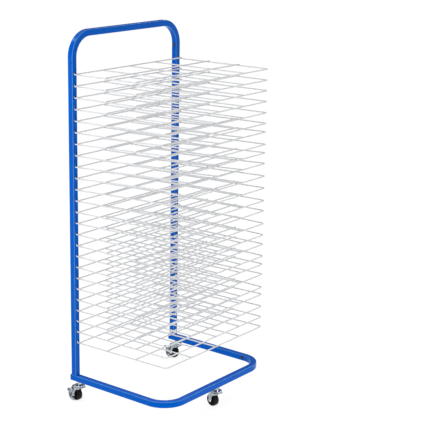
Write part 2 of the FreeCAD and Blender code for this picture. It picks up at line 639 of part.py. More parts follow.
def brake_strap():
    """Curved strap behind the wheel that joins the two cheeks and presses on the tread."""
    inside = WHEEL_DIAMETER / 2 + BRAKE_STRAP_GAP
    middle = (BRAKE_STRAP_HIGH + BRAKE_STRAP_LOW) / 2
    near = [on_wheel(inside, angle) for angle in (BRAKE_STRAP_LOW, middle, BRAKE_STRAP_HIGH)]
    far = [on_wheel(inside + BRAKE_SHEET, angle) for angle in (BRAKE_STRAP_HIGH, middle, BRAKE_STRAP_LOW)]
    outline = Part.Wire([
        Part.Arc(*near).toShape(), Part.LineSegment(near[2], far[0]).toShape(),
        Part.Arc(*far).toShape(), Part.LineSegment(far[2], near[0]).toShape(),
    ])
    strap = Part.Face(outline).extrude(Vector(2 * CHEEK_OUTSIDE, 0, 0))
    strap.translate(Vector(-CHEEK_OUTSIDE, 0, 0))
    return strap


def pedal():
    """Neck and round, turned-up tab that a foot presses."""
    centre = Vector(0, PEDAL_BACK, -PEDAL_DROP)
    tilt = math.radians(PEDAL_TILT)
    along = Vector(0, math.cos(tilt), math.sin(tilt))
    half = Vector(0, -math.sin(tilt), math.cos(tilt)) * (BRAKE_SHEET / 2)
    tab = cylinder(PEDAL_RADIUS, centre - half, centre + half)
    front = centre - along * (PEDAL_RADIUS * 0.77)
    root = on_wheel(WHEEL_DIAMETER / 2 + BRAKE_STRAP_GAP + BRAKE_SHEET * 0.4, 6)
    lift = Vector(0, 0, BRAKE_SHEET / 2)
    start = Vector(-PEDAL_NECK / 2, 0, 0)
    corners = [root + lift + start, front + lift + start, front - lift + start, root - lift + start]
    neck = Part.Face(Part.makePolygon(corners + corners[:1])).extrude(Vector(PEDAL_NECK, 0, 0))
    return [tab, neck]


def brake(pressed):
    """Brake lever: two cheeks outside the fork, a strap behind the wheel and the pedal."""
    right_cheek = brake_cheek()
    right_cheek.translate(Vector(CHEEK_INSIDE, 0, 0))
    lever = fused([right_cheek, mirrored_x(right_cheek), brake_strap()] + pedal())
    lever = lever.cut(across(BRAKE_PIN / 2 + AXLE_PLAY, BRAKE_PIVOT, CHEEK_OUTSIDE + 1))
    lever.rotate(BRAKE_PIVOT, Vector(-1, 0, 0), pressed)
    return lever


def casters():
    """Two rear casters with brakes under the posts, one plain caster at the front."""
    inserts = []
    balls = []
    for name, x, y, pressed in CASTERS:
        place = Vector(x, y, BASE_BOTTOM)
        has_brake = pressed is not None
        turned = {"fork": [fork(has_brake)], "axle": [axle()], "wheel": [wheel()]}
        if has_brake:
            turned["brake"] = [brake(pressed)]
            turned["brake_pins"] = brake_pins()
        for shapes in turned.values():
            for shape in shapes:
                shape.rotate(Vector(0, 0, 0), Vector(0, 0, 1), -CASTER_TURN)
        for piece, shapes in {"stem": [caster_stem()], **turned}.items():
            for shape in shapes:
                shape.translate(place)
            save(f"caster_{name}_{piece}", shapes)
        insert = caster_insert()
        insert.translate(place)
        inserts.append(insert)
        for ball in bearing_balls():
            ball.translate(place)
            balls.append(ball)
    save("caster_inserts", inserts)
    save("caster_balls", balls)


# ---- Shelves ------------------------------------------------------------

def wire_along(edges):
    """Round wire swept along joined edges."""
    path = Part.Wire(edges)
    start = edges[0].valueAt(edges[0].FirstParameter)
    heading = edges[0].tangentAt(edges[0].FirstParameter)
    circle = Part.Wire(Part.makeCircle(WIRE / 2, start, heading))
    return path.makePipeShell([circle], True, False)


def quarter_arc(start, corner, end):
    """Quarter circle that starts and ends tangent to the lines meeting at corner."""
    centre = start + end - corner
    middle = centre + (corner - centre) * (1 / math.sqrt(2))
    return Part.Arc(start, middle, end).toShape()


def outer_wires():
    """Outer wire in the plane z = 0, posts' front at y = 0, in lengths that are butt welded where the
    corners start and end: (front, sides with hooks, corners)."""
    x = POST_X
    y = -SHELF_REACH
    tip = Vector(-x, HOOK_LEG_BACK, HOOK_RISE)
    bend_top = Vector(-x, HOOK_LEG_BACK, HOOK_BEND)
    bend_low = Vector(-x, HOOK_LEG_BACK - HOOK_BEND, 0)
    side_end = Vector(-x, y + SHELF_CORNER, 0)
    front_start = Vector(-x + SHELF_CORNER, y, 0)
    front = cylinder(WIRE / 2, front_start, Vector(x - SHELF_CORNER, y, 0))
    side = wire_along([
        Part.LineSegment(tip, bend_top).toShape(),
        quarter_arc(bend_top, Vector(-x, HOOK_LEG_BACK, 0), bend_low),
        Part.LineSegment(bend_low, side_end).toShape(),
    ])
    corner = wire_along([quarter_arc(side_end, Vector(-x, y, 0), front_start)])
    return front, [side, mirrored_x(side)], [corner, mirrored_x(corner)]


def flat_shelf():
    """The wires of one shelf, each a solid of its own and welded where they touch.

    Inner depth wires lie in the outer wire's plane, pressed against its front. Cross wires lie on
    top, notched where they are pressed into the wires below."""
    front, sides, corners = outer_wires()
    gap = POST_SPACING / (INNER_DEPTH_WIRES + 1)
    rear_end = -REAR_CROSS_WIRE + DEPTH_OVERHANG
    front_end = -SHELF_REACH + WIRE / 2 - WELD_SINK
    below = list(sides)
    for i in range(1, INNER_DEPTH_WIRES + 1):
        x = -POST_X + gap * i
        wire = cylinder(WIRE / 2, Vector(x, rear_end, 0), Vector(x, front_end, 0))
        below.append(wire.cut(front))
    cross_height = WIRE - WELD_SINK
    cross_end = POST_X + WIRE / 2 + CROSS_OVERHANG
    cross_step = (SHELF_REACH - REAR_CROSS_WIRE) / CROSS_WIRES
    above = []
    for i in range(CROSS_WIRES):
        y = -REAR_CROSS_WIRE - cross_step * i
        wire = cylinder(WIRE / 2, Vector(-cross_end, y, cross_height), Vector(cross_end, y, cross_height))
        above.append(wire.cut(Part.makeCompound(below)))
    return [front, *corners, *below, *above]


def shelves():
    """All shelves, each hung at its own small angle about its hooks."""
    wires = flat_shelf()
    for i, (hole, angle) in enumerate(zip(SHELF_HOLES, SHELF_ANGLES), start=1):
        hung = []
        for wire in wires:
            placed = wire.copy()
            placed.rotate(Vector(0, TUBE_WALL / 2, 0), Vector(1, 0, 0), -angle)
            placed.translate(Vector(0, POST_FRONT, hole - SHELF_DROP))
            hung.append(placed)
        save(f"shelf_{i:02d}", hung)


os.makedirs("parts", exist_ok=True)
top_handle()
post_sections()
base_arms()
base_front()
arm_end_caps()
spigots()
frame_screws()
casters()
shelves()
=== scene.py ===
import json
import math

import bmesh
import bpy
from mathutils import Matrix, Vector, noise


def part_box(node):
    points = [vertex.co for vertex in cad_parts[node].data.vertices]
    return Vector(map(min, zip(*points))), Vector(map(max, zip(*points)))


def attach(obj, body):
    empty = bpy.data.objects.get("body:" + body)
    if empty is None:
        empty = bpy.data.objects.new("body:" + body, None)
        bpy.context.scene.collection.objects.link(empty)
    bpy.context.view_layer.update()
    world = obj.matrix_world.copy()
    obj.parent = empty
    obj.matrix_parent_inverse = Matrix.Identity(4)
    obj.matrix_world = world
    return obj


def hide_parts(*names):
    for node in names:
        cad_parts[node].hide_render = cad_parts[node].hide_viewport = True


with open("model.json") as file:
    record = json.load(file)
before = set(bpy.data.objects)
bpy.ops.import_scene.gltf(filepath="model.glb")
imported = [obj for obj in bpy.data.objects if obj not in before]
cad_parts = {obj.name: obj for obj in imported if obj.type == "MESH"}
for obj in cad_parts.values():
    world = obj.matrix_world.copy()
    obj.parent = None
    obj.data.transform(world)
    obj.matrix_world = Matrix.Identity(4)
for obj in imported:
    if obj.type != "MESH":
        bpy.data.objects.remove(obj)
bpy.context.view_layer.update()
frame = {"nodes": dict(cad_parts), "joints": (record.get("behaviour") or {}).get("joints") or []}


# ---- Base: two arms and the bent front ----
# Square steel tube, sawn and bent cold on one die, drilled, and powder coated bright
# blue. The coat is glossy over a faint orange-peel skin, with a painted highlight, a
# paler blue line, along the tube's rounded long edges.

def new_material(name):
    """(material, its nodes, its links), with a plain shader."""
    material = bpy.data.materials.new(name)
    material.use_nodes = True
    return material, material.node_tree.nodes, material.node_tree.links


def dress(node, material):
    """Gives one node of the frame its finish."""
    slots = frame["nodes"][node].data.materials
    slots.clear()
    slots.append(material)


def cloud(nodes, links, scale, detail=3.0):
    """Soft noise fixed to the piece."""
    place = nodes.new("ShaderNodeTexCoord")
    noise_node = nodes.new("ShaderNodeTexNoise")
    noise_node.inputs["Scale"].default_value = scale
    noise_node.inputs["Detail"].default_value = detail
    links.new(place.outputs["Object"], noise_node.inputs["Vector"])
    return noise_node.outputs["Fac"]


def between(nodes, links, amount, low, high):
    """A value that follows a 0 to 1 amount from low to high."""
    span = nodes.new("ShaderNodeMapRange")
    span.inputs["To Min"].default_value = low
    span.inputs["To Max"].default_value = high
    links.new(amount, span.inputs["Value"])
    return span.outputs["Result"]


def blended(nodes, links, amount, first, second):
    """Colour mix of two colours, or of a socket and a colour, by a 0 to 1 amount."""
    mix = nodes.new("ShaderNodeMix")
    mix.data_type = "RGBA"
    for socket, colour in (("A", first), ("B", second)):
        if isinstance(colour, tuple):
            mix.inputs[socket].default_value = (*colour, 1)
        else:
            links.new(colour, mix.inputs[socket])
    links.new(amount, mix.inputs["Factor"])
    return mix.outputs["Result"]


def calculated(nodes, links, operation, *values):
    """Result of one sum on sockets and numbers."""
    step = nodes.new("ShaderNodeMath")
    step.operation = operation
    for socket, value in zip(step.inputs, values):
        if isinstance(value, float):
            socket.default_value = value
        else:
            links.new(value, socket)
    return step.outputs["Value"]


def rippled(nodes, links, height, strength, depth, under=None):
    """Bumped normal from a height, laid over another normal if there is one."""
    bump = nodes.new("ShaderNodeBump")
    bump.inputs["Strength"].default_value = strength
    bump.inputs["Distance"].default_value = depth
    links.new(height, bump.inputs["Height"])
    if under is not None:
        links.new(under, bump.inputs["Normal"])
    return bump.outputs["Normal"]


# Cosines between the plain and the rounded normal, where an edge starts and is full.
EDGE_STARTS = 0.995
EDGE_FULL = 0.80


def soft_edge(nodes, links, radius):
    """(normal rounded over sharp edges, how near an edge from 0 to 1)."""
    rounded = nodes.new("ShaderNodeBevel")
    rounded.samples = 4
    rounded.inputs["Radius"].default_value = radius
    plain = nodes.new("ShaderNodeNewGeometry")
    same = nodes.new("ShaderNodeVectorMath")
    same.operation = "DOT_PRODUCT"
    links.new(rounded.outputs["Normal"], same.inputs[0])
    links.new(plain.outputs["Normal"], same.inputs[1])
    edge = nodes.new("ShaderNodeMapRange")
    edge.inputs["From Min"].default_value = EDGE_STARTS
    edge.inputs["From Max"].default_value = EDGE_FULL
    links.new(same.outputs["Value"], edge.inputs["Value"])
    return rounded.outputs["Normal"], edge.outputs["Result"]


def corner_highlight_mask(nodes, links, axis):
    """Mask of a painted highlight: 0 on the four flats of a square tube and 1 on its round corners.

    The tube runs and bends in a plane square to the axis, so a flat faces either
    along the axis or square to it, and only a corner faces halfway."""
    geometry = nodes.new("ShaderNodeNewGeometry")
    parts = nodes.new("ShaderNodeSeparateXYZ")
    links.new(geometry.outputs["Normal"], parts.inputs["Vector"])
    facing = calculated(nodes, links, "ABSOLUTE", parts.outputs[axis])
    curve = nodes.new("ShaderNodeValToRGB")
    curve.color_ramp.interpolation = "EASE"
    curve.color_ramp.elements[0].color = (0, 0, 0, 1)
    curve.color_ramp.elements[0].position = 0.15
    curve.color_ramp.elements[1].color = (0, 0, 0, 1)
    curve.color_ramp.elements[1].position = 0.97
    curve.color_ramp.elements.new(0.7).color = (1, 1, 1, 1)
    links.new(facing, curve.inputs["Fac"])
    return curve.outputs["Color"]


def powder_coat(name, axis):
    """Glossy blue for tubes that run and bend in the plane square to an axis, with a painted
    highlight of paler blue on their round corners.
    """
    material, nodes, links = new_material(name)
    shader = nodes["Principled BSDF"]
    shader.inputs["Specular IOR Level"].default_value = 0.14
    shader.inputs["Specular Tint"].default_value = (0.05, 0.6, 1.0, 1)
    drift = cloud(nodes, links, 9.0)
    highlight_breakup = cloud(nodes, links, 35.0, 5.0)
    tint = blended(nodes, links, drift, (0.0, 0.088, 0.47), (0.0, 0.102, 0.53))
    # painted highlight: paler blue on the round corners, broken up by noise
    painted_highlight = calculated(nodes, links, "MULTIPLY", corner_highlight_mask(nodes, links, axis),
                      between(nodes, links, highlight_breakup, 0.6, 0.9))
    links.new(blended(nodes, links, painted_highlight, tint, (0.14, 0.30, 0.64)), shader.inputs["Base Color"])
    links.new(between(nodes, links, drift, 0.12, 0.2), shader.inputs["Roughness"])
    skin = cloud(nodes, links, 420.0, 2.0)
    links.new(rippled(nodes, links, skin, 0.04, 0.0004), shader.inputs["Normal"])
    return material


flat_coat = powder_coat("blue_coat_base", "Z")
for part in ("base_arm_left", "base_arm_right", "base_front"):
    dress(part, flat_coat)


# ---- Rear caps of the base arms ----
# Black polythene plugs pushed into the open tube ends, moulded with a thin flange
# and a fine spark-eroded grain.

def moulded_plastic(name, colour, scuffed, gloss, roughness, grain):
    """Plastic with dust in places, scuffed edges and a fine grain."""
    material, nodes, links = new_material(name)
    shader = nodes["Principled BSDF"]
    shader.inputs["Specular IOR Level"].default_value = gloss
    rounded, edge = soft_edge(nodes, links, 0.0005)
    dust = cloud(nodes, links, 60.0, 5.0)
    tint = blended(nodes, links, between(nodes, links, dust, 0.0, 0.5), colour, scuffed)
    links.new(blended(nodes, links, between(nodes, links, edge, 0.0, 0.6), tint, scuffed),
              shader.inputs["Base Color"])
    links.new(between(nodes, links, dust, roughness * 0.8, roughness * 1.25),
              shader.inputs["Roughness"])
    skin = cloud(nodes, links, 1500.0, 2.0)
    links.new(rippled(nodes, links, skin, grain, 0.00015, rounded), shader.inputs["Normal"])
    return material


cap_polythene = moulded_plastic("cap_polythene", (0.012, 0.012, 0.013), (0.04, 0.04, 0.042),
                                gloss=0.4, roughness=0.5, grain=0.35)
dress("arm_end_caps", cap_polythene)


# ---- Caster inserts, stems, balls and kingpins ----
# Turned and pressed mild steel, bright zinc plated: silver with faint straw passivation, dark
# blue-grey patches of painted reflection over a faint blue tint, painted highlights on edges and
# fine drawing lines.

def zinc_plate(name, colour, cool, straw, roughness):
    """Plated steel with straw patches, blue-grey patches darkened as painted reflections, and edges
    painted bright as highlights.
    """
    material, nodes, links = new_material(name)
    shader = nodes["Principled BSDF"]
    shader.inputs["Metallic"].default_value = 1.0
    rounded, edge = soft_edge(nodes, links, 0.0005)
    drift = cloud(nodes, links, 70.0, 4.0)
    stain = cloud(nodes, links, 240.0, 3.0)
    # painted reflection: dark blue-grey patches drifting over the silver
    tint = blended(nodes, links, between(nodes, links, drift, -0.9, 1.9), cool, colour)
    tint = blended(nodes, links, between(nodes, links, stain, -0.25, 0.55), tint, straw)
    # painted highlight: the edges near white
    painted_edge_highlight = between(nodes, links, edge, 0.0, 0.7)
    links.new(blended(nodes, links, painted_edge_highlight, tint, (0.86, 0.87, 0.88)), shader.inputs["Base Color"])
    links.new(between(nodes, links, stain, roughness * 0.6, roughness * 1.5),
              shader.inputs["Roughness"])
    press = cloud(nodes, links, 900.0, 2.0)
    links.new(rippled(nodes, links, press, 0.12, 0.0002, rounded), shader.inputs["Normal"])
    return material


bright_zinc = zinc_plate("bright_zinc", (0.74, 0.76, 0.79), cool=(0.16, 0.20, 0.26),
                         straw=(0.52, 0.54, 0.52), roughness=0.11)
dress("caster_inserts", bright_zinc)
for side in ("left", "right", "front"):
    dress(f"caster_{side}_stem", bright_zinc)

dress("caster_balls", zinc_plate("polished_balls", (0.78, 0.78, 0.79), cool=(0.70, 0.72, 0.74),
                                 straw=(0.74, 0.74, 0.72), roughness=0.08))


# ---- Caster forks and axles ----
# The fork is pressed from one blank, with a raceway disc on top and two legs that
# sweep down to the axle, which is a rivet with a domed head.

fork_zinc = zinc_plate("fork_zinc", (0.66, 0.69, 0.71), cool=(0.08, 0.12, 0.16),
                       straw=(0.44, 0.47, 0.46), roughness=0.12)
for side in ("left", "right", "front"):
    dress(f"caster_{side}_fork", fork_zinc)
    dress(f"caster_{side}_axle", bright_zinc)


# ---- Wheels ----
# Moulded in one piece of black polypropylene: a crowned tread with a parting line,
# a deep recess on each side with eight ribs, and a hub that runs on the axle.

WHEEL_RADIUS = 0.019
HUB_HALF = 0.0097
RIM_HALF = 0.008
BORE_RADIUS = 0.00305
WHEEL_STEPS = 96
RIBS = 8
RIB_FOOT = (0.0035, 0.0009)     # (distance from the wheel's middle, half of the rib's width)
RIB_EDGE = (0.0068, 0.00055)
RIB_ENDS = (0.0063, 0.0149)     # in the hub and in the rim

# Outline of one side, from the parting line to the bore: (along the axle, radius).
wheel_side = [
    (0.0002, WHEEL_RADIUS), (0.0005, WHEEL_RADIUS - 0.00012), (0.0030, WHEEL_RADIUS - 0.00018),
    (0.0052, WHEEL_RADIUS - 0.0004), (0.0066, WHEEL_RADIUS - 0.0010),
    (0.0075, WHEEL_RADIUS - 0.0019), (RIM_HALF, WHEEL_RADIUS - 0.0030),
    (RIM_HALF, 0.0152), (0.0078, 0.0148), (0.0052, 0.0143),
    (0.0048, 0.0138), (0.0048, 0.0122), (0.0044, 0.0119), (0.0044, 0.0078), (0.0050, 0.0069),
    (0.0090, 0.0065), (HUB_HALF, 0.0062), (HUB_HALF, 0.0036), (0.0094, BORE_RADIUS),
]


def lathe(bm, profile, steps):
    """Turned skin from (along the axle, radius) points, round the X axis."""
    angles = [math.tau * k / steps for k in range(steps)]
    rings = []
    for x, radius in profile:
        rings.append([bm.verts.new((x, radius * math.cos(angle), radius * math.sin(angle)))
                      for angle in angles])
    for one, other in zip(rings, rings[1:] + rings[:1]):
        for k in range(steps):
            bm.faces.new((one[k], other[k], other[(k + 1) % steps], one[(k + 1) % steps]))


def rib(bm, side, angle):
    """One moulded rib in a recess, drafted towards its top edge and sunk into hub, rim and web."""
    along = Vector((0, math.cos(angle), math.sin(angle)))
    across = Vector((0, -math.sin(angle), math.cos(angle)))
    corners = []
    for x, half_width in (RIB_FOOT, RIB_EDGE):
        for radius in RIB_ENDS:
            for half in (-half_width, half_width):
                place = Vector((side * x, 0, 0)) + along * radius + across * half
                corners.append(bm.verts.new(place))
    low, high = corners[:4], corners[4:]
    for a, b in ((0, 1), (1, 3), (3, 2), (2, 0)):
        bm.faces.new((low[a], low[b], high[b], high[a]))
    bm.faces.new((high[0], high[1], high[3], high[2]))
    bm.faces.new((low[2], low[3], low[1], low[0]))


def finished_mesh(bm, name, sharp_degrees):
    """Mesh with smooth faces and sharp edges where it turns by more than an angle."""
    bmesh.ops.recalc_face_normals(bm, faces=bm.faces)
    mesh = bpy.data.meshes.new(name)
    bm.to_mesh(mesh)
    bm.free()
    mesh.polygons.foreach_set("use_smooth", [True] * len(mesh.polygons))
    mesh.set_sharp_from_angle(angle=math.radians(sharp_degrees))
    return mesh


def placed(name, mesh, matrix, material, body):
    """Object on a body of the frame, with its finish."""
    piece = bpy.data.objects.new(name, mesh)
    bpy.context.collection.objects.link(piece)
    if not mesh.materials:
        mesh.materials.append(material)
    piece.matrix_world = matrix
    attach(piece, body)
    return piece


bm = bmesh.new()
lathe(bm, wheel_side + [(-x, radius) for x, radius in reversed(wheel_side)], WHEEL_STEPS)
for side, stagger in ((-1, 0.0), (1, 0.5)):
    for k in range(RIBS):
        rib(bm, side, math.tau * (k + stagger) / RIBS)
wheel_mesh = finished_mesh(bm, "moulded_wheel", sharp_degrees=28)
wheel_plastic = moulded_plastic("wheel_polypropylene", (0.002, 0.002, 0.0022),
                                (0.006, 0.006, 0.0066), gloss=0.16, roughness=0.3, grain=0.12)

joints = {joint["name"]: joint for joint in frame["joints"]}
for side in ("left", "right", "front"):
    roll = joints[f"caster_{side}_roll"]
    axle_line = Vector(roll["axis"]).normalized()
    turn = Vector((1, 0, 0)).rotation_difference(axle_line).to_matrix().to_4x4()
    wheel = placed(f"wheel_{side}", wheel_mesh, Matrix.Translation(roll["pos_m"]) @ turn,
                   wheel_plastic, f"caster_{side}_roller")
    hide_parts(f"caster_{side}_wheel")


# ---- Brakes ----
# Levers of pressed sheet with two side shields, a strap behind the wheel and a round
# turned-up tab, on two stub rivets in the fork. Their plating is darker and bluer.

brake_zinc = zinc_plate("brake_zinc", (0.40, 0.45, 0.49), cool=(0.06, 0.09, 0.12),
                        straw=(0.30, 0.34, 0.37), roughness=0.14)
for side in ("left", "right"):
    dress(f"caster_{side}_brake", brake_zinc)
    dress(f"caster_{side}_brake_pins", bright_zinc)


# ---- Spigots ----
# Folded and drawn steel sleeves inside the tubes at every joint of the frame, left
# bare with a thin dark rolling skin and an oily sheen.

bare_steel, nodes, links = new_material("bare_steel")
shader = nodes["Principled BSDF"]
shader.inputs["Metallic"].default_value = 1.0
scale_skin = cloud(nodes, links, 160.0, 5.0)
links.new(blended(nodes, links, scale_skin, (0.16, 0.16, 0.17), (0.42, 0.41, 0.40)),
          shader.inputs["Base Color"])
links.new(between(nodes, links, scale_skin, 0.5, 0.25), shader.inputs["Roughness"])
links.new(rippled(nodes, links, cloud(nodes, links, 1200.0), 0.15, 0.0002), shader.inputs["Normal"])
for part in ("post_spigots", "handle_spigots", "base_spigots"):
    dress(part, bare_steel)


# ---- Posts ----
# Three lengths of the same tube on each side, drilled through the front wall for
# the shelf hooks and coated like the base, with painted shade, near black, inside the
# tubes. The butt joints show as fine dark lines.

def place_on(nodes, links):
    """(x, y, z) of a point of the piece at rest."""
    place = nodes.new("ShaderNodeTexCoord")
    split = nodes.new("ShaderNodeSeparateXYZ")
    links.new(place.outputs["Object"], split.inputs["Vector"])
    return split.outputs


SEAM_HALF = 0.00022         # half the height of the shadow at a joint
TUBE_SKIN = 0.0008          # from the tube's faces to where the painted shade inside starts


def joined_coat(name, seams, post):
    """The blue coat with a hairline of shadow at each butt joint and near-black painted
    shade inside the posts, which lies as the post's box does, mirrored, up to the last joint."""
    material = powder_coat(name, "Y")
    nodes, links = material.node_tree.nodes, material.node_tree.links
    shader = nodes["Principled BSDF"]
    x, y, z = place_on(nodes, links)
    colour = shader.inputs["Base Color"].links[0].from_socket
    for seam in seams:
        line = calculated(nodes, links, "COMPARE", z, seam, SEAM_HALF)
        colour = blended(nodes, links, line, colour, (0.002, 0.006, 0.02))
    low, high = post
    reach = (high[0] - low[0]) / 2 - TUBE_SKIN
    aside = calculated(nodes, links, "ABSOLUTE", x)
    within_x = calculated(nodes, links, "COMPARE", aside, abs(high[0] + low[0]) / 2, reach)
    within_y = calculated(nodes, links, "COMPARE", y, (high[1] + low[1]) / 2, reach)
    below_top = calculated(nodes, links, "LESS_THAN", z, seams[-1])
    painted_shade_inside = calculated(nodes, links, "MULTIPLY", within_y, below_top)
    painted_shade_inside = calculated(nodes, links, "MULTIPLY", within_x, painted_shade_inside)
    # painted shade: the inside of the post tubes near black
    links.new(blended(nodes, links, painted_shade_inside, colour, (0.003, 0.003, 0.004)),
              shader.inputs["Base Color"])
    return material


seams = [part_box(part)[1][2] for part in ("post_left_lower", "post_left_middle", "post_left_upper")]
post_coat = joined_coat("post_coat", seams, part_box("post_left_middle"))
for side in ("left", "right"):
    for level in ("lower", "middle", "upper"):
        dress(f"post_{side}_{level}", post_coat)


# ---- Top handle ----
# The same bent tube as the base's front, upright over the two posts as a push bar.

dress("top_handle", post_coat)


# ---- Frame screws ----
# Button-head screws with hexagon sockets, black oxide finish with a thin film of oil
# and pale steel on the rims, partly wear and partly a painted highlight.

black_oxide, nodes, links = new_material("black_oxide")
shader = nodes["Principled BSDF"]
shader.inputs["Metallic"].default_value = 1.0
rounded, edge = soft_edge(nodes, links, 0.0005)
oil = cloud(nodes, links, 300.0, 4.0)
tint = blended(nodes, links, oil, (0.03, 0.03, 0.033), (0.07, 0.07, 0.078))
# pale rims: steel showing through and a painted highlight
links.new(blended(nodes, links, between(nodes, links, edge, 0.0, 0.8), tint, (0.60, 0.60, 0.60)),
          shader.inputs["Base Color"])
links.new(between(nodes, links, oil, 0.12, 0.3), shader.inputs["Roughness"])
links.new(rounded, shader.inputs["Normal"])
dress("frame_screws", black_oxide)


# ---- Wire shelves ----
# Twenty-five grids of round wire, spot welded and then coated light grey: one bent
# outer wire, three inner wires and three cross wires, with an uneven lump at each weld.
# The outer wire ends in two hooks that hang in the posts' holes, with a painted white highlight
# there.

# Sizes of a flat shelf, whose plane is z = 0 with the posts' front faces at y = 0.
HALF_WIDTH = 0.220          # to the middle of the outer wire's sides, as REACH is to its front
REACH = 0.328
CORNER = 0.010
BARE_RADIUS = 0.0016
COAT = 0.0003
COAT_START = 0.003          # the coat thickens from here to COAT_FULL, in front of the posts
COAT_FULL = 0.009
HOOK_BEND = 0.005
HOOK_BACK = 0.0031          # middle of the hook's leg, behind the posts' front faces
HOOK_RISE = 0.012
HINGE_BACK = 0.0006         # line that the shelf turns about, behind the same faces
INNER_REAR = 0.006          # rear end of an inner wire, in front of the posts
INNER_SUNK = 0.0005         # from the middle of the outer wire's front to an inner wire's end
DEPTH_STEP = 0.110
CROSS_STEP = 0.106
FIRST_CROSS = 0.010
CROSS_RISE = 0.0024         # middle of the cross wires above the middle of the others
CROSS_END = HALF_WIDTH + BARE_RADIUS + 0.003
WIRE_SIDES = 16
# a cut end is rounded over: (distance from the end, radius), in radii of the wire
ROUNDED_END = ((0.0, 0.5), (0.25, 0.85), (1.0, 1.0))
WELD_SIZE = (0.0026, 0.0026, 0.0014)
FRONT_WELD_SIZE = (0.0027, 0.0021, 0.0014)
FRONT_WELD_BACK = 0.0015    # behind the middle of the front
FRONT_WELD_SEED = 31

wire_coat, nodes, links = new_material("wire_coat")
shader = nodes["Principled BSDF"]
shader.inputs["Specular IOR Level"].default_value = 0.35
drift = cloud(nodes, links, 22.0)
grey = blended(nodes, links, drift, (0.60, 0.61, 0.625), (0.71, 0.715, 0.725))
# painted highlight: the wire near white from just in front of the posts back over the hooks
hook_highlight = nodes.new("ShaderNodeMapRange")
hook_highlight.inputs["From Min"].default_value = -COAT_FULL
hook_highlight.inputs["From Max"].default_value = -COAT_START
links.new(place_on(nodes, links)["Y"], hook_highlight.inputs["Value"])
links.new(blended(nodes, links, hook_highlight.outputs["Result"], grey, (0.95, 0.95, 0.96)),
          shader.inputs["Base Color"])
links.new(between(nodes, links, drift, 0.32, 0.5), shader.inputs["Roughness"])
skin = cloud(nodes, links, 700.0, 2.0)
links.new(rippled(nodes, links, skin, 0.15, 0.0002), shader.inputs["Normal"])


def coated_radius(point):
    """Outside of the coat, which starts a little in front of the posts."""
    cover = (-point.y - COAT_START) / (COAT_FULL - COAT_START)
    return BARE_RADIUS + COAT * min(max(cover, 0.0), 1.0)


def quarter(centre, first, last, steps=8):
    """Points of a quarter circle from centre + first to centre + last."""
    return [centre + first * math.cos(angle) + last * math.sin(angle)
            for angle in (math.pi / 2 * k / steps for k in range(steps + 1))]


def sweep_wire(bm, points, radii):
    """Round closed skin along points, with a radius at each."""
    ways = [(b - a).normalized() for a, b in zip(points, points[1:])]
    headings = [ways[0]] + [(a + b).normalized() for a, b in zip(ways, ways[1:])] + [ways[-1]]
    side = headings[0].orthogonal().normalized()
    turns = [math.tau * n / WIRE_SIDES for n in range(WIRE_SIDES)]
    rings = []
    for k, (point, heading, radius) in enumerate(zip(points, headings, radii)):
        if k:
            side = headings[k - 1].rotation_difference(heading) @ side
        other = heading.cross(side)
        ways_out = [side * math.cos(turn) + other * math.sin(turn) for turn in turns]
        rings.append([bm.verts.new(point + way_out * radius) for way_out in ways_out])
    for one, two in zip(rings, rings[1:]):
        for n in range(WIRE_SIDES):
            bm.faces.new((one[n], one[(n + 1) % WIRE_SIDES], two[(n + 1) % WIRE_SIDES], two[n]))
    bm.faces.new(list(reversed(rings[0])))
    bm.faces.new(rings[-1])


def straight_wire(bm, start, end):
    """Coated wire with both cut ends rounded over by the coat."""
    radius = BARE_RADIUS + COAT
    along = (end - start).normalized()
    points = [start + along * radius * far for far, share in ROUNDED_END]
    points += [end - along * radius * far for far, share in reversed(ROUNDED_END)]
    shares = [share for far, share in ROUNDED_END + ROUNDED_END[::-1]]
    sweep_wire(bm, points, [radius * share for share in shares])


def weld(bm, centre, size, seed):
    """Uneven lump, flattened between the wires."""
    lump = bmesh.ops.create_icosphere(bm, subdivisions=2, radius=1.0)["verts"]
    for vert in lump:
        swell = 1 + 0.22 * noise.noise(vert.co * 1.7 + Vector((seed * 3.1, 0, 0)))
        vert.co = centre + Vector([c * s * swell for c, s in zip(vert.co, size)])


bm = bmesh.new()
left_half = [Vector((-HALF_WIDTH, HOOK_BACK, HOOK_RISE))]
left_half += quarter(Vector((-HALF_WIDTH, HOOK_BACK - HOOK_BEND, HOOK_BEND)),
                     Vector((0, HOOK_BEND, 0)), Vector((0, 0, -HOOK_BEND)))
left_half += [Vector((-HALF_WIDTH, -COAT_START, 0)), Vector((-HALF_WIDTH, -COAT_FULL, 0))]
left_half += quarter(Vector((-HALF_WIDTH + CORNER, -REACH + CORNER, 0)),
                     Vector((-CORNER, 0, 0)), Vector((0, -CORNER, 0)))
outer = left_half + [Vector((-point.x, point.y, point.z)) for point in reversed(left_half)]
sweep_wire(bm, outer, [coated_radius(point) for point in outer])
depth_lines = [-HALF_WIDTH + DEPTH_STEP * k for k in range(5)]
for i, x in enumerate(depth_lines[1:4]):
    straight_wire(bm, Vector((x, -INNER_REAR, 0)), Vector((x, -REACH + INNER_SUNK, 0)))
    weld(bm, Vector((x, -REACH + FRONT_WELD_BACK, 0)), FRONT_WELD_SIZE, FRONT_WELD_SEED + i)
for j in range(3):
    y = -FIRST_CROSS - CROSS_STEP * j
    straight_wire(bm, Vector((-CROSS_END, y, CROSS_RISE)), Vector((CROSS_END, y, CROSS_RISE)))
    for i, x in enumerate(depth_lines):
        weld(bm, Vector((x, y, CROSS_RISE / 2)), WELD_SIZE, 5 * i + j)
shelf_mesh = finished_mesh(bm, "coated_shelf", sharp_degrees=60)

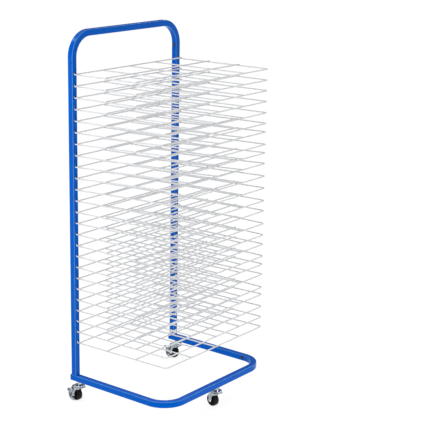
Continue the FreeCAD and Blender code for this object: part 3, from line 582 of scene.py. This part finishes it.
# Each shelf hangs at its own small angle, which its front wire in the frame gives.
for number in range(1, 26):
    part = f"shelf_{number:02d}"
    pivot = Vector(joints[f"{part}_lift"]["pos_m"])
    points = [vert.co for vert in frame["nodes"][part].data.vertices]
    front = min(point.y for point in points)
    heights = [point.z for point in points if point.y < front + 2 * BARE_RADIUS]
    tilt = math.atan2((min(heights) + max(heights)) / 2 - pivot.z, pivot.y - front - BARE_RADIUS)
    hinge = Matrix.Translation((0, -HINGE_BACK, 0))
    hang = Matrix.Translation(pivot) @ Matrix.Rotation(-tilt, 4, "X") @ hinge
    shelf = placed(f"coated_{part}", shelf_mesh, hang, wire_coat, part)
    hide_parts(part)


# ---- Floor, light and camera ----
# A plain pale studio floor under a sky that is bright overhead and dim at the
# horizon, with two far softboxes on the right and behind, a near panel on the left
# and a low one in front. A white wall stands all round, where only the camera sees
# it, and the long lens looks down on the middle of the rack.

FLOOR_HALF = 30.0
WALL_RADIUS = 28.0
WALL_DEPTH = 60.0


def on_stage(name, shape, paint):
    """A thing of the studio, not of the rack."""
    mesh = bpy.data.meshes.new(name)
    shape.to_mesh(mesh)
    shape.free()
    mesh.materials.append(paint)
    thing = bpy.data.objects.new(name, mesh)
    bpy.context.collection.objects.link(thing)
    return thing


floor_paint, nodes, links = new_material("floor_paint")
shader = nodes["Principled BSDF"]
shader.inputs["Roughness"].default_value = 0.9
shader.inputs["Specular IOR Level"].default_value = 0.1
links.new(blended(nodes, links, cloud(nodes, links, 3.0), (0.20, 0.20, 0.20), (0.22, 0.22, 0.22)),
          shader.inputs["Base Color"])
shader.inputs["Emission Color"].default_value = (1, 1, 1, 1)
shader.inputs["Emission Strength"].default_value = 0.84
square = bmesh.new()
bmesh.ops.create_grid(square, x_segments=2, y_segments=2, size=FLOOR_HALF)
on_stage("studio_floor", square, floor_paint)

wall_paint, nodes, links = new_material("wall_paint")
shader = nodes["Principled BSDF"]
shader.inputs["Base Color"].default_value = (0, 0, 0, 1)
shader.inputs["Specular IOR Level"].default_value = 0.0
shader.inputs["Emission Color"].default_value = (1, 1, 1, 1)
shader.inputs["Emission Strength"].default_value = 1.0
ring = bmesh.new()
bmesh.ops.create_cone(ring, segments=64, radius1=WALL_RADIUS, radius2=WALL_RADIUS, depth=WALL_DEPTH)
studio_wall = on_stage("studio_wall", ring, wall_paint)
studio_wall.visible_diffuse = False
studio_wall.visible_glossy = False
studio_wall.visible_shadow = False

world = bpy.data.worlds.new("studio")
bpy.context.scene.world = world
world.use_nodes = True
nodes, links = world.node_tree.nodes, world.node_tree.links
nodes["Background"].inputs["Color"].default_value = (1, 1, 1, 1)
upward = nodes.new("ShaderNodeTexCoord")
split = nodes.new("ShaderNodeSeparateXYZ")
links.new(upward.outputs["Generated"], split.inputs["Vector"])
height = nodes.new("ShaderNodeMapRange")
height.interpolation_type = "SMOOTHSTEP"
height.inputs["From Min"].default_value = 0.2
height.inputs["From Max"].default_value = 0.8
links.new(split.outputs["Z"], height.inputs["Value"])
links.new(between(nodes, links, height.outputs["Result"], 0.12, 0.7),
          nodes["Background"].inputs["Strength"])
bpy.context.scene.view_settings.view_transform = "Standard"


def soft_light(name, towards, strength):
    """A large far softbox, seen as a disc of 18 degrees in the direction given."""
    light = bpy.data.lights.new(name, "SUN")
    light.angle = math.radians(18)
    light.energy = strength
    lamp = bpy.data.objects.new(name, light)
    lamp.rotation_euler = Vector(towards).to_track_quat("Z", "Y").to_euler()
    bpy.context.collection.objects.link(lamp)


soft_light("right_box", (0.77, -0.15, 0.60), 0.6)
soft_light("back_box", (-0.24, 0.59, 0.75), 0.6)


def near_panel(name, place, target, size, power):
    """A square light panel close enough for its light to fall off along the rack."""
    light = bpy.data.lights.new(name, "AREA")
    light.size = size
    light.energy = power
    panel = bpy.data.objects.new(name, light)
    panel.location = place
    panel.rotation_euler = (Vector(place) - Vector(target)).to_track_quat("Z", "Y").to_euler()
    bpy.context.collection.objects.link(panel)


near_panel("left_panel", (-2.1, 0.0, 1.45), (0, 0, 0.8), 0.9, 22.0)
near_panel("front_panel", (-0.2, -1.7, 0.45), (0, -0.2, 0.2), 0.6, 8.0)

CAMERA_PLACE = (-2.71315, -2.24428, 1.48163)
CAMERA_AIM = (52.569, 15.001, 1.013)        # turned, tipped down and rolled, in degrees
CAMERA_LENS = 107.37
CAMERA_SENSOR = 36.0

camera = bpy.data.objects.new("camera", bpy.data.cameras.new("camera"))
camera.data.lens = CAMERA_LENS
camera.data.sensor_width = CAMERA_SENSOR
turn, fall, roll = (math.radians(angle) for angle in CAMERA_AIM)
ahead = Vector((math.sin(turn) * math.cos(fall), math.cos(turn) * math.cos(fall), -math.sin(fall)))
right = Vector((math.cos(turn), -math.sin(turn), 0))
up = right.cross(ahead)
cosine, sine = math.cos(roll), math.sin(roll)
right, up = right * cosine + up * sine, up * cosine - right * sine
facing = Matrix((right, up, -ahead)).transposed().to_4x4()
camera.matrix_world = Matrix.Translation(CAMERA_PLACE) @ facing
bpy.context.collection.objects.link(camera)
bpy.context.scene.camera = camera
